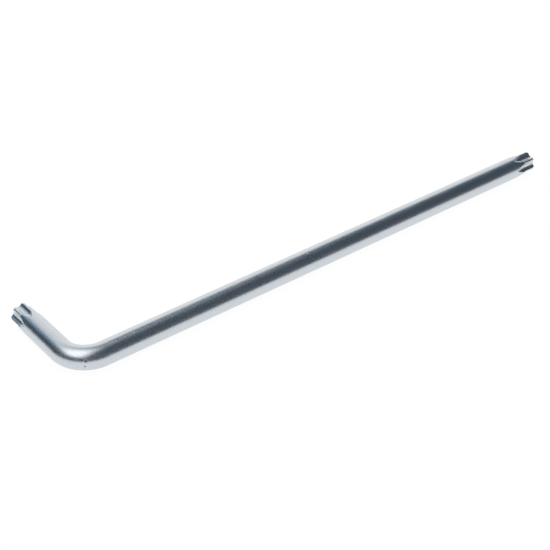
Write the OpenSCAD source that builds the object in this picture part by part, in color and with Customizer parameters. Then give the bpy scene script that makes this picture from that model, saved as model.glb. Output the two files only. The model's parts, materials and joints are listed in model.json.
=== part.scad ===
// Star key: one round steel bar with a right-angle bend, formed to a six-pointed star at both ends.
// The key lies flat, with the long arm along X and the short arm along Y. The origin is on the
// surface under it, at the middle of the rectangle that it covers.

/* [Bar] */
// Diameter of the round bar
bar_d = 9.25; // [9:0.05:12]
// Length over the long arm, from the outer side of the short arm to the end of the tip
long_len = 233.7; // [100:0.1:400]
// Length over the short arm, from the outer side of the long arm to the end of the tip
short_len = 44.5; // [38:0.1:90]
// Radius of the bend on the bar's centreline
bend_r = 11.1; // [8:0.1:16]

/* [Star tips] */
// Diameter of the star over its points
point_d = 8.83; // [8.5:0.01:8.95]
// Diameter of the star between opposite flutes
valley_d = 6.24; // [6:0.01:6.8]
// Radius of each hollow flute
flute_r = 1.98; // [1.6:0.01:2.05]
// Length over which the flutes keep their full depth
star_len = 5.2; // [3:0.1:10]
// Length in which a flute narrows to a point behind that
runout_len = 5.2; // [4:0.1:8]
// Distance from the end of the tip at which the bar has narrowed to the star
taper_to = 3.4; // [2:0.1:5]
// Angle at which the rounded points widen into the bar
point_flare = 48; // [20:1:60]
// How far behind the start of the narrowing flutes the points start to widen
flare_lag = 0.5; // [0:0.05:0.6]
// Depth and length of the chamfer around the end of each tip
end_chamfer = 0.4; // [0.1:0.05:0.6]
chamfer_len = 1; // [0.3:0.05:1.2]
// Angle of a star point on the long arm, from the short arm's side towards the top
long_turn = 20.5; // [0:0.5:60]
// Angle of a star point on the short arm, from the long arm's side towards the top
short_turn = 9.5; // [0:0.5:60]

/* [Hidden] */
$fn = 96;

// A star has this many points, and as many flutes
points = 6;
pitch = 360 / points;
// How far a rounded point and its flutes lap, so that they meet in a clean edge
point_lap = 0.03;
// How far a cutting shape reaches past what it cuts
past = 0.4;
// How far the point of a flute lies above the surface of the bar
point_rise = 0.03;
// How much wider than the straight hollow of a flute the ball is that joins it to the narrowing end
ball_swell = 1.002;

bar_r = bar_d / 2;
point_r = point_d / 2;
valley_r = valley_d / 2;

// Centre of a flute, and the rounding of a point that runs into the flutes on both sides of it
flute_at = valley_r + flute_r;
flute_x = flute_at * cos(pitch / 2);
flute_y = flute_at * sin(pitch / 2);
reach = flute_r - point_lap;
lobe_r = (point_r ^ 2 + flute_at ^ 2 - 2 * point_r * flute_x - reach ^ 2)
    / (2 * (point_r - flute_x + reach));
lobe_at = point_r - lobe_r;

// Round core of the star, out to where a point and a flute lap
to_flute = [flute_x - lobe_at, flute_y] / norm([flute_x - lobe_at, flute_y]);
core_r = norm([lobe_at, 0] + to_flute * (lobe_r - point_lap / 2));

// Narrowing end of a flute: an arc turned about a line that leans in to the surface of the bar
nose_lean = flute_at - bar_r - point_rise;
nose_len = norm([nose_lean, runout_len]);
nose_r = (flute_r ^ 2 + nose_len ^ 2) / (2 * flute_r);
nose_tilt = atan(nose_lean / runout_len);

// The whole formed stretch of an arm, in which the bar narrows to the star
tip_len = star_len + runout_len;
shoulder_r = point_r + point_lap;

// Stretch in which the rounded points widen past the surface of the bar
flare_slope = tan(point_flare);
flare_len = (bar_r + past - core_r) / flare_slope;

// Straight round stretch of each arm, between the bend and the tip
long_straight = long_len - bar_r - bend_r - tip_len;
short_straight = short_len - bar_r - bend_r - tip_len;

// One copy at each point of the star, turned further by the given angle
module around(turn = 0) {
    for (k = [0 : points - 1])
        rotate(turn + k * pitch)
            children();
}

// An arm along z before its flutes are formed: the bar, the taper and the chamfered end
module plain_arm(straight) {
    end = straight + tip_len;
    rotate_extrude()
        polygon([
            [0, 0],
            [bar_r, 0],
            [bar_r, straight],
            [shoulder_r, end - taper_to],
            [shoulder_r, end - chamfer_len * (1 + point_lap / end_chamfer)],
            [point_r - end_chamfer, end],
            [0, end]
        ]);
}

// Hollow of one flute: straight from z = 0 to the end of the tip, and narrowing to a point behind
module flute() {
    translate([flute_at, 0, 0]) {
        cylinder(h = star_len + past, r = flute_r);
        sphere(r = ball_swell * flute_r);
        rotate([0, nose_tilt, 0])
            rotate_extrude()
                intersection() {
                    translate([flute_r - nose_r, 0])
                        circle(r = nose_r);
                    translate([0, -nose_len])
                        square([flute_r, nose_len]);
                }
    }
}

// A rod of radius r along the star, which widens where the points run into the bar
module flared_rod(r) {
    back = -flare_lag - flare_len;
    end = star_len + 2 * past;
    rotate_extrude()
        polygon([
            [0, back - past],
            [r + (flare_len + past) * flare_slope, back - past],
            [r, -flare_lag],
            [r, end],
            [0, end]
        ]);
}

// What is taken off around the rounded points of the star
module point_rounding() {
    difference() {
        translate([0, 0, -flare_lag - flare_len])
            cylinder(h = star_len + flare_lag + flare_len + past, r = bar_r + 2 * past);
        flared_rod(core_r);
        around()
            translate([lobe_at, 0, 0])
                flared_rod(lobe_r);
    }
}

// A finished arm along z, with a point of its star at the given angle from x
module arm(straight, turn) {
    difference() {
        plain_arm(straight);
        translate([0, 0, straight + runout_len]) {
            around(turn + pitch / 2)
                flute();
            rotate(turn)
                point_rounding();
        }
    }
}

// Quarter bend that joins the two arms
module bend() {
    translate([bend_r, bend_r, 0])
        rotate(180)
            rotate_extrude(angle = 90)
                translate([bend_r, 0])
                    circle(r = bar_r);
}

// The whole key, built from the corner where the arms' centrelines would meet
module key_bar() {
    color("lightsteelblue")
        translate([bar_r - long_len / 2, bar_r - short_len / 2, bar_r])
            union() {
                bend();
                translate([bend_r, 0, 0])
                    rotate([90, 0, 90])
                        arm(long_straight, long_turn);
                translate([0, bend_r, 0])
                    rotate([-90, 0, 0])
                        arm(short_straight, -short_turn);
            }
}

key_bar();
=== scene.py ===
"""Star key in satin chrome, on a plain white studio floor.

The bent bar is one closed mesh, swept along its centreline from the tip of the short arm to the tip
of the long one. The bar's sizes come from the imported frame, and those of the star from the standard
size of driver that it is. Lengths are in metres and angles in radians, unless a comment says otherwise.
"""

import json
import logging
import math
from dataclasses import dataclass
from enum import Enum
from typing import Any

import bpy
import numpy as np
from mathutils import Matrix, Vector


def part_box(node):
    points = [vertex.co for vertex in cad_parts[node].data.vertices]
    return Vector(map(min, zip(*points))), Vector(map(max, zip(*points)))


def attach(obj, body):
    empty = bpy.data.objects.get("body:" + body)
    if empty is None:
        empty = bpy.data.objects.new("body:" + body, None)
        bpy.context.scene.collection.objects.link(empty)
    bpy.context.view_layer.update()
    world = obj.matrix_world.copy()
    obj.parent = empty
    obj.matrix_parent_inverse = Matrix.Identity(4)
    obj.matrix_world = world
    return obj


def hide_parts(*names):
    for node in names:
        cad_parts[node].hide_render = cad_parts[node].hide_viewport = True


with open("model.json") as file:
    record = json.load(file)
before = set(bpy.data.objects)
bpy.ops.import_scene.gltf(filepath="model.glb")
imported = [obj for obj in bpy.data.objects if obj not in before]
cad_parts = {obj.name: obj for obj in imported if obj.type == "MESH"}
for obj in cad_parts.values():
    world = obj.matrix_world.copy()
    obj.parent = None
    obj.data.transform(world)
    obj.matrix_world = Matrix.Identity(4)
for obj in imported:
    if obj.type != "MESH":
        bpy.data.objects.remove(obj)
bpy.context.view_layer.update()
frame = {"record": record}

log = logging.getLogger("star_key")

MM = 0.001
NODE = "key_bar"
PIECE = "key_bar_satin"
BODY = "root"
SLOT = "satin_chrome"
BAKE_MAP = "OFBake"
UP = np.array([0.0, 0.0, 1.0])
WHITE = (1.0, 1.0, 1.0)

Colour = tuple[float, float, float]
Socket = bpy.types.NodeSocket
Spot = tuple[Vector, float]

# Places of the colours among the sockets of a Mix node
FIRST_COLOUR = 6
SECOND_COLOUR = 7
MIXED_COLOUR = 2


class Arm(Enum):
    """An arm of the key, by the name of the mount on it."""

    SHORT = "short_arm"
    LONG = "long_arm"


# Angle of a point of each arm's star, from the arm's outer side towards the top
STAR_TURNS = {Arm.LONG: math.radians(159.5), Arm.SHORT: math.radians(170.5)}


def opaque(colour: Colour) -> tuple[float, float, float, float]:
    """Adds the full alpha that the socket of a colour takes."""
    return (*colour, 1.0)


class Wiring:
    """Places and links the nodes of one node tree."""

    def __init__(self, tree: bpy.types.NodeTree) -> None:
        """Starts from an empty tree."""
        self.tree = tree
        tree.nodes.clear()

    def add(self, kind: str, inputs: dict[str | int, Any] | None = None, **settings: Any) -> bpy.types.Node:
        """Adds one node.

        Args:
            kind: Name of the node's type.
            inputs: Each input's value, or the output that is linked to it.
            settings: Properties of the node itself.

        Returns:
            The new node.
        """
        node = self.tree.nodes.new(kind)
        for name, value in settings.items():
            setattr(node, name, value)
        for name, value in (inputs or {}).items():
            if isinstance(value, Socket):
                self.tree.links.new(value, node.inputs[name])
            else:
                node.inputs[name].default_value = value
        return node

    def math(self, operation: str, *values: Any, clamp: bool = False) -> Socket:
        """Adds a Math node.

        Args:
            operation: What it works out.
            values: Its numbers, or the outputs that they come from.
            clamp: Whether the result stays between 0 and 1.

        Returns:
            The node's output.
        """
        node = self.add("ShaderNodeMath", dict(enumerate(values)), operation=operation, use_clamp=clamp)
        return node.outputs[0]

    def fade(self, value: Socket, start: float, end: float, low: float, high: float) -> Socket:
        """Adds a smooth step from one value to another.

        Args:
            value: What the step follows.
            start: Where the step starts.
            end: Where the step ends.
            low: Result up to the start.
            high: Result from the end on.

        Returns:
            The step's output.
        """
        span = {"Value": value, "From Min": start, "From Max": end, "To Min": low, "To Max": high}
        step = self.add("ShaderNodeMapRange", span, interpolation_type="SMOOTHSTEP")
        return step.outputs["Result"]

    def blend(self, share: Socket | float, first: Any, second: Any) -> Socket:
        """Adds a mix of two colours.

        Args:
            share: How much of the second colour shows.
            first: The first colour, or the output that it comes from.
            second: The second colour, or the output that it comes from.

        Returns:
            The mixed colour.
        """
        colours = {FIRST_COLOUR: first, SECOND_COLOUR: second}
        mixed = self.add("ShaderNodeMix", {"Factor": share, **colours}, data_type="RGBA")
        return mixed.outputs[MIXED_COLOUR]

    def noise(self, place: Socket, scale: float, detail: float) -> Socket:
        """Adds a smooth random pattern of the given scale and detail."""
        pattern = self.add("ShaderNodeTexNoise", {"Vector": place, "Scale": scale, "Detail": detail})
        return pattern.outputs["Fac"]


def smooth_min(first: np.ndarray, second: np.ndarray, blend: float) -> np.ndarray:
    """Takes the smaller of two radii, with the edge between them rounded.

    Args:
        first: Radii of one surface.
        second: Radii of the other surface.
        blend: Difference below which the two run into each other.

    Returns:
        The rounded minimum, which is never above either radius.
    """
    near = np.maximum(blend - np.abs(first - second), 0.0) / blend
    return np.minimum(first, second) - near * near * blend / 4


@dataclass(frozen=True)
class StarTip:
    """The fluted end of an arm, as a radius at each angle and at each distance from its end.

    Attributes:
        bar_r: Radius of the round bar.
        length: Length of the formed stretch, from the end of the tip to the plain bar.
        turn: Angle of a point of the star, from the arm's outer side towards the top.
        point_r: Radius over the points of the star.
        valley_r: Radius at the bottom of the flutes.
        flute_r: Radius of each hollow flute.
        star_len: Length over which the flutes keep their full depth.
        taper_to: Distance from the end at which the bar has narrowed to the star.
        point_flare: Angle at which the rounded points widen into the bar.
        flare_lag: How far behind the full depth of the flutes the points start to widen.
        chamfer: Depth of the chamfer around the end.
        chamfer_len: Length of that chamfer.
        flute_edge: Rounding of the edges of the flutes.
        crest_edge: Rounding between the points and the bar.
        points: Number of points, and of flutes.
        flute_rays: Rays of the mesh from the middle of a flute to its edge.
        land_rays: Rays of the mesh from that edge to the middle of a point.
        narrowest: Least angle that the rays of half a flute take up.
        spread_len: Length behind the tip in which the rays become even.
        edge_tries: Rays that are tried to find the edge of a flute.
    """

    bar_r: float
    length: float
    turn: float
    point_r: float = 4.415 * MM
    valley_r: float = 3.12 * MM
    flute_r: float = 1.98 * MM
    star_len: float = 5.2 * MM
    taper_to: float = 3.4 * MM
    point_flare: float = math.radians(48)
    flare_lag: float = 0.5 * MM
    chamfer: float = 0.4 * MM
    chamfer_len: float = 1.0 * MM
    flute_edge: float = 0.05 * MM
    crest_edge: float = 0.03 * MM
    points: int = 6
    flute_rays: int = 13
    land_rays: int = 7
    narrowest: float = math.radians(6)
    spread_len: float = 5.0 * MM
    edge_tries: int = 1501

    @property
    def half(self) -> float:
        """Angle from the middle of a flute to a point of the star."""
        return math.pi / self.points

    @property
    def flute_at(self) -> float:
        """Distance of a flute's centre from the axis."""
        return self.valley_r + self.flute_r

    @property
    def lobe_r(self) -> float:
        """Works out how round the points are, so that they run smoothly into the flutes beside them.

        Returns:
            Radius of each rounded point.
        """
        across = self.flute_at * math.cos(self.half)
        gap = self.point_r - across
        rest = self.point_r**2 + self.flute_at**2 - 2 * self.point_r * across - self.flute_r**2
        return rest / (2 * (gap + self.flute_r))

    def bar(self, from_end: float) -> float:
        """Works out one section before the star is formed: plain bar, taper and chamfered end.

        Args:
            from_end: Distance of the section from the end of the tip.

        Returns:
            Radius of the section.
        """
        taper = (self.bar_r - self.point_r) / (self.length - self.taper_to)
        narrowed = self.point_r + self.crest_edge + taper * max(from_end - self.taper_to, 0.0)
        body = smooth_min(np.array(self.bar_r), np.array(narrowed), self.crest_edge)
        return float(min(body, self.point_r - self.chamfer * (1 - from_end / self.chamfer_len)))

    def flutes(self, off: np.ndarray, behind: float) -> np.ndarray:
        """Finds where the hollows of the flutes start, which narrow on an arc to a point behind.

        Args:
            off: Angle of each ray from the middle of the nearest flute.
            behind: Distance behind the stretch where the flutes have their full depth.

        Returns:
            Distance of the hollow from the axis along each ray, endless where the ray misses it.
        """
        runout_len = self.length - self.star_len
        lean = self.flute_at - self.bar_r
        nose_len = math.hypot(lean, runout_len)
        nose_r = (self.flute_r**2 + nose_len**2) / (2 * self.flute_r)
        share = min(max(behind / runout_len, 0.0), 1.0)
        hollow_r = math.sqrt(nose_r**2 - (share * nose_len) ** 2) - (nose_r - self.flute_r)
        hollow_at = self.flute_at - share * lean
        under = max(hollow_r, 0.0) ** 2 - (hollow_at * np.sin(off)) ** 2
        near = hollow_at * np.cos(off) - np.sqrt(np.maximum(under, 0.0))
        return np.where(under > 0, near, np.inf)

    def crests(self, off: np.ndarray, behind: float) -> np.ndarray:
        """Finds the rounded points of the star, which widen into the bar behind it.

        Args:
            off: Angle of each ray from the nearest point of the star.
            behind: Distance behind the stretch where the flutes have their full depth.

        Returns:
            Distance of the rounded points from the axis along each ray.
        """
        lobe_at = self.point_r - self.lobe_r
        flute_x, flute_y = self.flute_at * math.cos(self.half), self.flute_at * math.sin(self.half)
        to_flute = np.array([flute_x - lobe_at, flute_y])
        meet = np.array([lobe_at, 0.0]) + to_flute * self.lobe_r / np.linalg.norm(to_flute)
        widened = max(behind - self.flare_lag, 0.0) * math.tan(self.point_flare)
        lobe = self.lobe_r + widened
        under = lobe**2 - (lobe_at * np.sin(off)) ** 2
        reach = lobe_at * np.cos(off) + np.sqrt(np.maximum(under, 0.0))
        return np.maximum(np.where(under > 0, reach, 0.0), np.linalg.norm(meet) + widened)

    def edge(self, from_end: float) -> float:
        """Finds the edge of a flute, by trying rays from its middle outwards.

        Args:
            from_end: Distance of the section from the end of the tip.

        Returns:
            Angle from the middle of a flute to the first ray that misses its hollow.
        """
        off = np.linspace(0.0, self.half, self.edge_tries)
        behind = from_end - self.star_len
        solid = np.minimum(self.bar(from_end), self.crests(self.half - off, behind))
        return float(off[np.argmin(self.flutes(off, behind) < solid)])

    def rays(self, from_end: float) -> np.ndarray:
        """Chooses the rays of one section, so that they follow the edges of the flutes.

        Args:
            from_end: Distance of the section from the end of the tip.

        Returns:
            Angle of each ray from the arm's outer side towards the top.
        """
        even = self.half * self.flute_rays / (self.flute_rays + self.land_rays)
        spread = min(max(from_end - self.length, 0.0) / self.spread_len, 1.0)
        eased = spread * spread * (3 - 2 * spread)
        edge = max(self.edge(from_end), self.narrowest) * (1 - eased) + even * eased
        flute = np.linspace(0.0, edge, self.flute_rays, endpoint=False)
        land = np.linspace(edge, self.half, self.land_rays + 1)
        one_side = np.concatenate([flute, land])
        pitch = np.concatenate([one_side, 2 * self.half - one_side[-2:0:-1]])
        starts = self.turn + self.half + 2 * self.half * np.arange(self.points)
        return (starts[:, None] + pitch[None, :]).ravel()

    def radii(self, angles: np.ndarray, from_end: float) -> np.ndarray:
        """Works out one section of the tip.

        Args:
            angles: Angle of each ray from the arm's outer side towards the top.
            from_end: Distance of the section from the end of the tip.

        Returns:
            Radius of the surface along each ray.
        """
        from_point = (angles - self.turn + self.half) % (2 * self.half) - self.half
        behind = from_end - self.star_len
        bar = np.full_like(angles, self.bar(from_end))
        crest = smooth_min(bar, self.crests(from_point, behind), self.crest_edge)
        flute = smooth_min(bar, self.flutes(self.half - np.abs(from_point), behind), self.flute_edge)
        return np.minimum(crest, flute)


@dataclass(frozen=True)
class Nick:
    """A small pit in the plating of the bend.

    Attributes:
        along: Distance along the centreline from the short tip's end.
        turn: Angle from the outer side of the bend towards the top.
        radius: Radius of the pit.
        depth: Depth of the pit.
    """

    along: float
    turn: float
    radius: float
    depth: float


@dataclass(frozen=True)
class SatinChrome:
    """Chrome plating with a fine satin grain, a few bright specks and dark pits.

    Attributes:
        colour: The plating between its faint clouds.
        cool_colour: The plating in the middle of a cloud.
        pit_colour: The bottom of a dark pit.
        roughness: Roughness of the plating.
        pit_roughness: Roughness in a pit.
        cloud_scale: Clouds in a metre.
        cloud_detail: Finer layers in the clouds.
        cloud_dulling: How far the clouds take the roughness up and down.
        grain_scale: Grains in a metre.
        grain_detail: Finer layers in the grain.
        grain_dulling: How far the grain takes the roughness up and down.
        grain_height: Height of the grain.
        noise_low: Level of a random pattern at which the roughness is lowest.
        noise_high: Level of a random pattern at which the roughness is highest.
        coarse_to: Place along the long arm up to which the grain is at its strongest.
        fine_from: Place along the long arm from which the grain is at its weakest.
        fine_share: Strength of the grain there.
        speck_scale: Cells in a metre, a few of which hold a speck.
        speck_below: Random grey of a cell below which it holds a speck.
        speck_r: Radius of a speck, as a share of its cell.
        speck_core: Share of that radius which has the full height.
        speck_height: Height of a speck.
        spot_core: Share of a single spot's radius which is fully marked.
        spot_reach: Where a single spot has faded out, as a share of its radius.
    """

    colour: Colour = (0.622, 0.664, 0.699)
    cool_colour: Colour = (0.600, 0.652, 0.696)
    pit_colour: Colour = (0.030, 0.030, 0.034)
    roughness: float = 0.304
    pit_roughness: float = 0.55
    cloud_scale: float = 170.0
    cloud_detail: float = 3.0
    cloud_dulling: float = 0.015
    grain_scale: float = 1500.0
    grain_detail: float = 2.0
    grain_dulling: float = 0.050
    grain_height: float = 0.004 * MM
    noise_low: float = 0.25
    noise_high: float = 0.75
    coarse_to: float = -50.0 * MM
    fine_from: float = 50.0 * MM
    fine_share: float = 0.5
    speck_scale: float = 420.0
    speck_below: float = 0.12
    speck_r: float = 0.16
    speck_core: float = 0.3
    speck_height: float = 0.045 * MM
    spot_core: float = 0.45
    spot_reach: float = 1.25

    def specks(self, wiring: Wiring, place: Socket) -> Socket:
        """Scatters small raised specks over the plating.

        Args:
            wiring: The material's nodes.
            place: Coordinates on the object.

        Returns:
            How much of a speck there is, from 0 to 1.
        """
        cells = wiring.add("ShaderNodeTexVoronoi", {"Vector": place, "Scale": self.speck_scale}).outputs
        picked = wiring.math("LESS_THAN", cells["Color"], self.speck_below)
        near = wiring.fade(cells["Distance"], self.speck_core * self.speck_r, self.speck_r, 1.0, 0.0)
        return wiring.math("MULTIPLY", picked, near)

    def spots(self, wiring: Wiring, place: Socket, spots: list[Spot]) -> Socket | float:
        """Marks single spots of the plating.

        Args:
            wiring: The material's nodes.
            place: Coordinates on the object.
            spots: Place and radius of each spot.

        Returns:
            How much of a spot there is, from 0 to 1.
        """
        shown: Socket | float = 0.0
        for centre, radius in spots:
            gap = wiring.add("ShaderNodeVectorMath", {0: place, 1: centre}, operation="DISTANCE")
            core, reach = self.spot_core * radius, self.spot_reach * radius
            near = wiring.fade(gap.outputs["Value"], core, reach, 1.0, 0.0)
            shown = wiring.math("MAXIMUM", near, shown)
        return shown

    def dulling(self, wiring: Wiring, noise: Socket, most: float) -> Socket:
        """Turns a random pattern into a change of the roughness, up and down by the most given."""
        return wiring.fade(noise, self.noise_low, self.noise_high, -most, most)

    def material(self, pits: list[Spot], glints: list[Spot]) -> bpy.types.Material:
        """Builds the finish.

        Args:
            pits: Place and radius of each dark pit in the plating.
            glints: Place and radius of each bright speck that has a place of its own.

        Returns:
            The finished material.
        """
        made = bpy.data.materials.new(SLOT)
        made.use_nodes = True
        wiring = Wiring(made.node_tree)
        place = wiring.add("ShaderNodeTexCoord").outputs["Object"]
        cloud = wiring.noise(place, self.cloud_scale, self.cloud_detail)
        grain = wiring.noise(place, self.grain_scale, self.grain_detail)
        pitted = self.spots(wiring, place, pits)
        raised = wiring.math("MAXIMUM", self.specks(wiring, place), self.spots(wiring, place, glints))
        plating = wiring.blend(cloud, opaque(self.colour), opaque(self.cool_colour))
        clouded = self.dulling(wiring, cloud, self.cloud_dulling)
        lengthwise = wiring.add("ShaderNodeSeparateXYZ", {"Vector": place}).outputs["X"]
        coarse = wiring.fade(lengthwise, self.coarse_to, self.fine_from, 1.0, self.fine_share)
        grainy = self.dulling(wiring, grain, self.grain_dulling)
        mottled = wiring.math("MULTIPLY_ADD", coarse, grainy, clouded)
        dulled = wiring.math("MULTIPLY_ADD", pitted, self.pit_roughness - self.roughness, self.roughness)
        rough = wiring.math("ADD", mottled, dulled)
        specks = wiring.add("ShaderNodeBump", {"Height": raised, "Distance": self.speck_height})
        grained = wiring.add(
            "ShaderNodeBump",
            {"Height": grain, "Distance": self.grain_height, "Normal": specks.outputs["Normal"]},
        )
        shader = wiring.add(
            "ShaderNodeBsdfPrincipled",
            {
                "Base Color": wiring.blend(pitted, plating, opaque(self.pit_colour)),
                "Metallic": 1.0,
                "Roughness": rough,
                "Normal": grained.outputs["Normal"],
            },
        )
        wiring.add("ShaderNodeOutputMaterial", {"Surface": shader.outputs["BSDF"]})
        return made


@dataclass
class KeyBar:
    """The whole key: a round bar with one bend and a star tip on each arm.

    Attributes:
        bar_r: Radius of the round bar.
        axis_z: Height of the centreline.
        bend_r: Radius of the bend on the centreline.
        corner: Where the centrelines of the two arms would cross.
        straights: Length of the plain stretch of each arm.
        tips: Star tip of each arm.
        finish: The plating.
        tip_step: Distance between the sections in a tip.
        spread_step: Distance between them behind a tip, where the rays become even.
        bend_step: Distance between them in the bend.
        straight_step: Distance between them on a plain stretch.
        end_round: Rounding around each end face.
        end_loops: Loops of the mesh on that rounding.
        face_shares: Size of each loop on an end face, as a share of the face.
        nick_stops: Sections across each pit.
        glint_r: Radius of each bright speck in the row behind the bend.
        glint_places: Its distance from the corner along the long arm in millimetres, and its angle
            from the outer side towards the top in degrees.
        map_rows: Rows in which the surface is laid out flat.
        map_margin: Margin around a row, as a share of its size.
    """

    bar_r: float
    axis_z: float
    bend_r: float
    corner: tuple[float, float]
    straights: dict[Arm, float]
    tips: dict[Arm, StarTip]
    finish: SatinChrome = SatinChrome()
    tip_step: float = 0.11 * MM
    spread_step: float = 0.5 * MM
    bend_step: float = 0.25 * MM
    straight_step: float = 5.0 * MM
    end_round: float = 0.08 * MM
    end_loops: int = 4
    face_shares: tuple[float, ...] = (0.96, 0.66, 0.33)
    nick_stops: int = 9
    glint_r: float = 0.24 * MM
    glint_places: tuple[tuple[float, float], ...] = (
        (13.2, 73.0),
        (14.4, 71.0),
        (15.9, 67.5),
        (20.0, 72.0),
        (23.9, 71.5),
    )
    map_rows: int = 3
    map_margin: float = 0.01

    @classmethod
    def from_frame(cls, record: dict[str, Any]) -> "KeyBar":
        """Takes the bar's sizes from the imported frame.

        Args:
            record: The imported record.

        Returns:
            The key, ready to be built.
        """
        low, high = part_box(NODE)
        mounts = {item["name"]: item for item in record["mounts"]}
        bar_r = (high.z - low.z) / 2
        corner = (low.x + bar_r, low.y + bar_r)
        straights = {arm: mounts[arm.value]["dims"]["length_mm"] * MM for arm in Arm}
        ends = {Arm.LONG: high.x, Arm.SHORT: high.y}
        middles = {
            Arm.LONG: mounts[Arm.LONG.value]["pos_m"][0],
            Arm.SHORT: mounts[Arm.SHORT.value]["pos_m"][1],
        }
        tips = {
            arm: StarTip(
                bar_r=bar_r,
                length=ends[arm] - middles[arm] - straights[arm] / 2,
                turn=STAR_TURNS[arm],
            )
            for arm in Arm
        }
        return cls(
            bar_r=bar_r,
            axis_z=(low.z + high.z) / 2,
            bend_r=middles[Arm.LONG] - straights[Arm.LONG] / 2 - corner[0],
            corner=corner,
            straights=straights,
            tips=tips,
        )

    @property
    def bend_from(self) -> float:
        """Distance along the centreline from the short tip's end to the bend."""
        return self.tips[Arm.SHORT].length + self.straights[Arm.SHORT]

    @property
    def bend_to(self) -> float:
        """Distance along the centreline from the short tip's end to the end of the bend."""
        return self.bend_from + self.bend_r * math.pi / 2

    @property
    def total(self) -> float:
        """Length of the whole centreline."""
        return self.bend_to + self.straights[Arm.LONG] + self.tips[Arm.LONG].length

    @property
    def nicks(self) -> list[Nick]:
        """Places the pits in the plating, on the outside of the bend.

        Returns:
            The upper pit and the lower one.
        """
        upper = Nick(
            along=self.bend_from + self.bend_r * math.radians(57.0),
            turn=math.radians(23.6),
            radius=0.38 * MM,
            depth=0.13 * MM,
        )
        lower = Nick(
            along=self.bend_from + self.bend_r * math.radians(55.5),
            turn=math.radians(-5.7),
            radius=0.34 * MM,
            depth=0.11 * MM,
        )
        return [upper, lower]

    @property
    def glints(self) -> list[Spot]:
        """Places the row of bright specks on the long arm, just behind the bend.

        Returns:
            Place and radius of each speck.
        """
        corner = self.bend_to - self.bend_r
        return [
            (self.surface(corner + along * MM, math.radians(turn)), self.glint_r)
            for along, turn in self.glint_places
        ]

    def place(self, along: float) -> tuple[np.ndarray, np.ndarray]:
        """Finds a point of the centreline.

        Args:
            along: Distance along the centreline from the short tip's end.

        Returns:
            The point, and the direction from it to the outer side of the bend.
        """
        hub = np.array([self.corner[0] + self.bend_r, self.corner[1] + self.bend_r, self.axis_z])
        swept = min(max(along - self.bend_from, 0.0), self.bend_to - self.bend_from) / self.bend_r
        side = np.array([-math.cos(swept), -math.sin(swept), 0.0])
        centre = hub + self.bend_r * side
        centre[1] += max(self.bend_from - along, 0.0)
        centre[0] += max(along - self.bend_to, 0.0)
        return centre, side

    def surface(self, along: float, turn: float) -> Vector:
        """Finds a point on the surface of the plain bar."""
        centre, side = self.place(along)
        return Vector(centre + self.bar_r * (math.cos(turn) * side + math.sin(turn) * UP))

    def angles(self, along: float) -> np.ndarray:
        """Chooses the rays of one section. They turn slowly from one star to the other.

        Args:
            along: Distance along the centreline from the short tip's end.

        Returns:
            Angle of each ray from the outer side towards the top.
        """
        short, long = self.tips[Arm.SHORT], self.tips[Arm.LONG]
        start = short.length + short.spread_len
        end = self.total - long.length - long.spread_len
        if along < start:
            return short.rays(along)
        if along > end:
            return long.rays(self.total - along)
        share = (along - start) / (end - start)
        return short.rays(start) * (1 - share) + long.rays(long.length + long.spread_len) * share

    def radii(self, along: float) -> np.ndarray:
        """Works out one section of the bar.

        Args:
            along: Distance along the centreline from the short tip's end.

        Returns:
            Radius of the surface along each ray.
        """
        angles = self.angles(along)
        for arm, from_end in ((Arm.SHORT, along), (Arm.LONG, self.total - along)):
            if from_end < self.tips[arm].length:
                return self.tips[arm].radii(angles, from_end)
        return np.full_like(angles, self.bar_r)

    def stops(self) -> np.ndarray:
        """Chooses where the sections lie: close together in the tips, the bend and at its pits.

        Returns:
            Distance of each section along the centreline, in order.
        """
        short, long = self.tips[Arm.SHORT], self.tips[Arm.LONG]
        lengths = [
            (self.end_round, self.tip_step),
            (short.length, self.spread_step),
            (short.length + short.spread_len, self.straight_step),
            (self.bend_from, self.bend_step),
            (self.bend_to, self.straight_step),
            (self.total - long.length - long.spread_len, self.spread_step),
            (self.total - long.length, self.tip_step),
            (self.total - self.end_round, self.tip_step),
        ]
        edges, steps = zip(*lengths)
        stops = [
            np.linspace(start, end, max(round((end - start) / step), 1), endpoint=False)
            for start, end, step in zip(edges, edges[1:], steps)
        ]
        for nick in self.nicks:
            stops.append(nick.along + np.linspace(-1.0, 1.0, self.nick_stops) * nick.radius)
        return np.unique(np.concatenate([*stops, edges[-1:]]))

    def loops(self) -> list[tuple[float, np.ndarray]]:
        """Lists every loop of the mesh, from the middle of one end face to the middle of the other.

        Returns:
            Distance of each loop along the centreline, and its radii.
        """
        body = [(float(along), self.radii(float(along))) for along in self.stops()]
        rounding = np.linspace(0.0, math.pi / 2, self.end_loops + 1)[1:]
        for inward in (1, -1):
            edge = 0.0 if inward > 0 else self.total
            cap = []
            for turn in rounding:
                along = edge + inward * self.end_round * (1 - math.sin(turn))
                cap.append((along, self.radii(along) - self.end_round * (1 - math.cos(turn))))
            face = cap[-1][1]
            cap += [(edge, face * share) for share in self.face_shares]
            body = cap[::-1] + body if inward > 0 else body + cap
        return body

    def rings(self) -> np.ndarray:
        """Places the vertices of every loop, with the pits pressed in.

        Returns:
            Place of each vertex, loop by loop and ray by ray.
        """
        rings = []
        for along, radii in self.loops():
            centre, side = self.place(along)
            angles = self.angles(along)
            rays = np.outer(np.cos(angles), side) + np.outer(np.sin(angles), UP)
            ring = centre + radii[:, None] * rays
            for nick in self.nicks:
                gap = np.linalg.norm(ring - np.array(self.surface(nick.along, nick.turn)), axis=1)
                ring -= (nick.depth * np.exp(-((gap / nick.radius) ** 2)))[:, None] * rays
            rings.append(ring)
        return np.array(rings)

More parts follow.
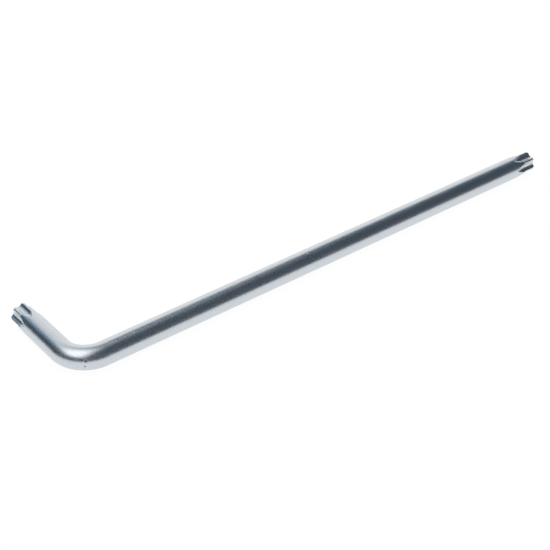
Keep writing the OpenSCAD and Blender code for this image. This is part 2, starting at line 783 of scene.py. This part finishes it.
    @staticmethod
    def faces(count: int, sides: int) -> list[list[int]]:
        """Joins the loops with quads and closes both ends with fans.

        Args:
            count: Number of loops.
            sides: Number of vertices in each loop.

        Returns:
            Vertices of each face. The middles of the two ends come after the vertices of the loops.
        """
        ring_no, ray_no = np.meshgrid(np.arange(count - 1), np.arange(sides), indexing="ij")
        beside = (ray_no + 1) % sides
        row, next_row = ring_no * sides, (ring_no + 1) * sides
        quads = np.stack([row + ray_no, next_row + ray_no, next_row + beside, row + beside], axis=-1)
        rays = np.arange(sides)
        after = (rays + 1) % sides
        end_row = (count - 1) * sides
        first, last = np.full(sides, count * sides), np.full(sides, count * sides + 1)
        start_fan = np.stack([first, rays, after], axis=-1)
        end_fan = np.stack([last, end_row + after, end_row + rays], axis=-1)
        return quads.reshape(-1, 4).tolist() + start_fan.tolist() + end_fan.tolist()

    def build(self) -> bpy.types.Object:
        """Builds the swept mesh.

        Returns:
            The key's object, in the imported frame.
        """
        rings = self.rings()
        count, sides = rings.shape[:2]
        middles = [self.place(0.0)[0], self.place(self.total)[0]]
        places = np.concatenate([*rings, middles])
        mesh = bpy.data.meshes.new(NODE)
        mesh.from_pydata(places.tolist(), [], self.faces(count, sides))
        mesh.shade_smooth()
        self.unwrap(mesh, rings)
        piece = bpy.data.objects.new(PIECE, mesh)
        bpy.context.scene.collection.objects.link(piece)
        return piece

    def unwrap(self, mesh: bpy.types.Mesh, rings: np.ndarray) -> None:
        """Lays the surface out flat in a few rows, cut open along its underside.

        Args:
            mesh: The key's mesh, with its quads ring by ring and then the fans of both ends.
            rings: Places of the vertices of each ring.
        """
        count, sides = rings.shape[:2]
        steps = np.linalg.norm(np.diff(rings, axis=0), axis=2).mean(axis=1)
        ends = [np.linalg.norm(ring - ring.mean(axis=0), axis=1).mean() for ring in (rings[0], rings[-1])]
        along = np.concatenate([[0.0], np.cumsum([ends[0], *steps, ends[1]])])
        middles = (along[:-1] + along[1:]) / 2
        rows = np.minimum((middles / along[-1] * self.map_rows).astype(int), self.map_rows - 1)
        starts = np.array([along[:-1][rows == row][0] for row in range(self.map_rows)])
        longest = np.diff([*starts, along[-1]]).max()
        inner = 1 - 2 * self.map_margin
        tip = self.tips[Arm.LONG]
        underside = 3 * math.pi / 2 - tip.turn - tip.half
        seam = round(underside / (2 * math.pi) * sides)
        left = (np.arange(sides) - seam) % sides / sides
        right = left + 1 / sides

        def corner(band: np.ndarray, edge: np.ndarray, share: np.ndarray) -> np.ndarray:
            """Places one corner of each face of some bands.

            Args:
                band: Number of each band between two rings, counted from the first end's middle.
                edge: Number of the ring that the corner lies on, counted alike.
                share: How far around the bar the corner lies, from the cut.

            Returns:
                Place of each corner on the flat map.
            """
            across = self.map_margin + (along[edge] - starts[rows[band]]) / longest * inner
            upward = (rows[band] + self.map_margin + share * inner) / self.map_rows
            return np.stack(np.broadcast_arrays(across, upward), axis=-1)

        band = np.arange(1, count)[:, None]
        pairs = ((band, left), (band + 1, left), (band + 1, right), (band, right))
        quads = np.stack([corner(band, edge, share) for edge, share in pairs], axis=2)
        first, last = np.array([0]), np.array([count])
        half = (left + right) / 2
        pairs = ((first, half), (first + 1, left), (first + 1, right))
        start_fan = np.stack([corner(first, edge, share) for edge, share in pairs], axis=1)
        pairs = ((last + 1, half), (last, right), (last, left))
        end_fan = np.stack([corner(last, edge, share) for edge, share in pairs], axis=1)
        flat = np.concatenate([quads.ravel(), start_fan.ravel(), end_fan.ravel()])
        mesh.uv_layers.new(name=BAKE_MAP).data.foreach_set("uv", flat)

    def dress(self, piece: bpy.types.Object) -> None:
        """Gives the key its finish and ties it to the frame.

        Args:
            piece: The key's object.
        """
        pits = [(self.surface(nick.along, nick.turn), nick.radius) for nick in self.nicks]
        piece.data.materials.append(self.finish.material(pits, self.glints))
        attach(piece, BODY)
        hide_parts(NODE)


@dataclass(frozen=True)
class Backdrop:
    """A round backdrop with a soft edge. Angles are in degrees.

    Attributes:
        azimuth: Direction of its middle, from +X towards +Y.
        elevation: How far its middle is above the horizon.
        radius: Half the angle that it spans.
        softness: Half the width of its soft edge.
        colour: Its light.
    """

    azimuth: float
    elevation: float
    radius: float
    softness: float
    colour: Colour

    def mask(self, wiring: Wiring, facing: Socket) -> Socket:
        """Shapes the backdrop.

        Args:
            wiring: The surround's nodes.
            facing: Direction that is looked in.

        Returns:
            How much of the backdrop shows, from 0 to 1.
        """
        around, above = math.radians(self.azimuth), math.radians(self.elevation)
        level = math.cos(above)
        middle = (math.cos(around) * level, math.sin(around) * level, math.sin(above))
        towards = wiring.add("ShaderNodeVectorMath", {0: facing, 1: middle}, operation="DOT_PRODUCT")
        outer = math.cos(math.radians(self.radius + self.softness))
        inner = math.cos(math.radians(self.radius - self.softness))
        return wiring.fade(towards.outputs["Value"], outer, inner, 0.0, 1.0)


@dataclass(frozen=True)
class SoftBox:
    """A level oval light overhead with a soft edge, its sizes given for a height of 1.

    Attributes:
        middle: Place of its middle.
        half_length: Half its length.
        half_width: Half its width.
        turn: Angle of its length from +X towards +Y, in degrees.
        softness: Half the width of its soft edge, as a share of its size.
        colour: Its light.
        lowest: Least upward part of a direction, which keeps the division by it safe.
    """

    middle: tuple[float, float]
    half_length: float
    half_width: float
    turn: float
    softness: float
    colour: Colour
    lowest: float = 0.02

    def mask(self, wiring: Wiring, facing: Socket) -> Socket:
        """Shapes the light.

        Args:
            wiring: The surround's nodes.
            facing: Direction that is looked in.

        Returns:
            How much of the light shows, from 0 to 1.
        """
        height = wiring.add("ShaderNodeSeparateXYZ", {"Vector": facing}).outputs["Z"]
        lifted = wiring.math("MAXIMUM", height, self.lowest)
        share = wiring.math("DIVIDE", 1.0, lifted)
        level = wiring.add("ShaderNodeVectorMath", {0: facing, "Scale": share}, operation="SCALE")
        oval = {
            "Vector": level.outputs["Vector"],
            "Location": (*self.middle, 1.0),
            "Rotation": (0.0, 0.0, math.radians(self.turn)),
            "Scale": (self.half_length, self.half_width, 1.0),
        }
        inside = wiring.add("ShaderNodeMapping", oval, vector_type="TEXTURE")
        reach = wiring.add("ShaderNodeVectorMath", {0: inside.outputs["Vector"]}, operation="LENGTH")
        return wiring.fade(reach.outputs["Value"], 1 - self.softness, 1 + self.softness, 1.0, 0.0)


@dataclass(frozen=True)
class Studio:
    """White floor, soft surround, lamp and camera.

    Attributes:
        near_colour: The dim surround on the camera's side.
        far_colour: The dim surround on the side away from it.
        near_azimuth: Direction of the camera's side, from +X towards +Y, in degrees.
        lights: What glows in the surround.
        floor_r: Radius of the floor.
        floor_sides: Sides of the floor's rim.
        floor_colour: The floor where light and shadow fall on it.
        floor_glow: Share of plain white in the floor as it is seen.
        lamp_height: Height of the lamp over the floor.
        lamp_size: Width of the square lamp.
        lamp_power: Power of the lamp in watts.
        camera_azimuth: Direction that the camera looks in, from +Y towards +X, in degrees.
        camera_elevation: How far down it looks, in degrees.
        camera_distance: Distance of the camera from the point that it looks at.
        camera_aim: The point that it looks at.
        camera_near: Distance from which on it sees.
        lens: Focal length in millimetres.
        sensor: Width of the sensor in millimetres.
    """

    near_colour: Colour = (0.097, 0.110, 0.133)
    far_colour: Colour = (0.012, 0.036, 0.054)
    near_azimuth: float = -114.6
    lights: tuple[Backdrop | SoftBox, ...] = (
        Backdrop(azimuth=52.3, elevation=-8.5, radius=52.3, softness=4.9, colour=(1.082, 0.977, 0.874)),
        Backdrop(azimuth=52.3, elevation=-8.5, radius=67.2, softness=9.8, colour=(0.000, 0.044, 0.089)),
        SoftBox(
            middle=(-0.607, -0.042),
            half_length=0.917,
            half_width=0.449,
            turn=18.0,
            softness=0.478,
            colour=(0.966, 1.011, 1.028),
        ),
        SoftBox(
            middle=(-0.374, 0.162),
            half_length=1.593,
            half_width=0.451,
            turn=60.7,
            softness=0.101,
            colour=(0.660, 0.610, 0.560),
        ),
        SoftBox(
            middle=(-0.269, 1.946),
            half_length=1.045,
            half_width=0.484,
            turn=73.9,
            softness=0.930,
            colour=(0.240, 0.374, 0.528),
        ),
    )
    floor_r: float = 8.0
    floor_sides: int = 96
    floor_colour: Colour = (0.9, 0.9, 0.9)
    floor_glow: float = 0.97
    lamp_height: float = 1.6
    lamp_size: float = 1.2
    lamp_power: float = 22.0
    camera_azimuth: float = 37.995
    camera_elevation: float = 35.5265
    camera_distance: float = 566.35 * MM
    camera_aim: tuple[float, float, float] = (-22.366 * MM, -17.341 * MM, 4.625 * MM)
    camera_near: float = 0.01
    lens: float = 95.655
    sensor: float = 36.0

    def build_world(self) -> None:
        """Makes the dim surround with its soft lights."""
        world = bpy.data.worlds.new("studio")
        world.use_nodes = True
        bpy.context.scene.world = world
        wiring = Wiring(world.node_tree)
        facing = wiring.add("ShaderNodeTexCoord").outputs["Generated"]
        around = math.radians(self.near_azimuth)
        near = {0: facing, 1: (math.cos(around), math.sin(around), 0.0)}
        towards = wiring.add("ShaderNodeVectorMath", near, operation="DOT_PRODUCT").outputs["Value"]
        nearness = wiring.fade(towards, -1.0, 1.0, 0.0, 1.0)
        dim = wiring.blend(nearness, opaque(self.far_colour), opaque(self.near_colour))
        light = wiring.add("ShaderNodeBackground", {"Color": dim}).outputs[0]
        for source in self.lights:
            shown = {"Color": opaque(source.colour), "Strength": source.mask(wiring, facing)}
            glow = wiring.add("ShaderNodeBackground", shown).outputs[0]
            light = wiring.add("ShaderNodeAddShader", {0: light, 1: glow}).outputs[0]
        wiring.add("ShaderNodeOutputWorld", {"Surface": light})

    def floor_paint(self) -> bpy.types.Material:
        """Makes the floor's paint: nearly plain white to the eye, with a trace of light and shadow.

        Returns:
            The finished material.
        """
        paint = bpy.data.materials.new("white_floor")
        paint.use_nodes = True
        wiring = Wiring(paint.node_tree)
        path = wiring.add("ShaderNodeLightPath").outputs
        seen = wiring.math("ADD", path["Is Camera Ray"], path["Is Glossy Ray"])
        seen = wiring.math("ADD", seen, path["Is Transmission Ray"], clamp=True)
        share = wiring.math("MULTIPLY", seen, self.floor_glow)
        matt = wiring.add("ShaderNodeBsdfDiffuse", {"Color": opaque(self.floor_colour)}).outputs[0]
        glow = wiring.add("ShaderNodeEmission", {"Color": opaque(WHITE), "Strength": 1.0}).outputs[0]
        both = wiring.add("ShaderNodeMixShader", {0: share, 1: matt, 2: glow}).outputs[0]
        wiring.add("ShaderNodeOutputMaterial", {"Surface": both})
        return paint

    def build_floor(self) -> bpy.types.Object:
        """Makes the white floor under the key.

        Returns:
            The floor's object.
        """
        turns = np.linspace(0.0, 2 * math.pi, self.floor_sides, endpoint=False)
        rim = [(self.floor_r * math.cos(turn), self.floor_r * math.sin(turn), 0.0) for turn in turns]
        mesh = bpy.data.meshes.new("floor")
        mesh.from_pydata(rim, [], [list(range(self.floor_sides))])
        mesh.materials.append(self.floor_paint())
        floor = bpy.data.objects.new("floor", mesh)
        bpy.context.scene.collection.objects.link(floor)
        return floor

    def build_lamp(self) -> None:
        """Hangs one large soft lamp over the floor, for the key's shadow."""
        lamp = bpy.data.lights.new("soft_lamp", "AREA")
        lamp.size = self.lamp_size
        lamp.energy = self.lamp_power
        holder = bpy.data.objects.new("soft_lamp", lamp)
        holder.location = (0.0, 0.0, self.lamp_height)
        holder.visible_glossy = False
        bpy.context.scene.collection.objects.link(holder)

    def build_camera(self) -> None:
        """Sets up the camera at the angle of the picture."""
        around, above = math.radians(self.camera_azimuth), math.radians(self.camera_elevation)
        ahead = Vector(
            (math.sin(around) * math.cos(above), math.cos(around) * math.cos(above), -math.sin(above))
        )
        right = Vector((math.cos(around), -math.sin(around), 0.0))
        upward = right.cross(ahead)
        eye = Vector(self.camera_aim) - ahead * self.camera_distance
        turned = Matrix((right, upward, -ahead)).transposed().to_4x4()
        lens = bpy.data.cameras.new("camera")
        lens.sensor_width = self.sensor
        lens.lens = self.lens
        lens.clip_start = self.camera_near
        camera = bpy.data.objects.new("camera", lens)
        camera.matrix_world = Matrix.Translation(eye) @ turned
        bpy.context.scene.collection.objects.link(camera)
        bpy.context.scene.camera = camera


def main() -> None:
    """Builds the studio and the key."""
    logging.basicConfig(level=logging.INFO, format="%(name)s: %(message)s")
    bpy.context.scene.view_settings.view_transform = "Standard"
    studio = Studio()
    studio.build_world()
    studio.build_lamp()
    studio.build_camera()
    log.info("stage %s", studio.build_floor().name)
    key = KeyBar.from_frame(frame["record"])
    piece = key.build()
    key.dress(piece)
    log.info("piece %s: %d faces", piece.name, len(piece.data.polygons))


if __name__ == "__main__":
    main()
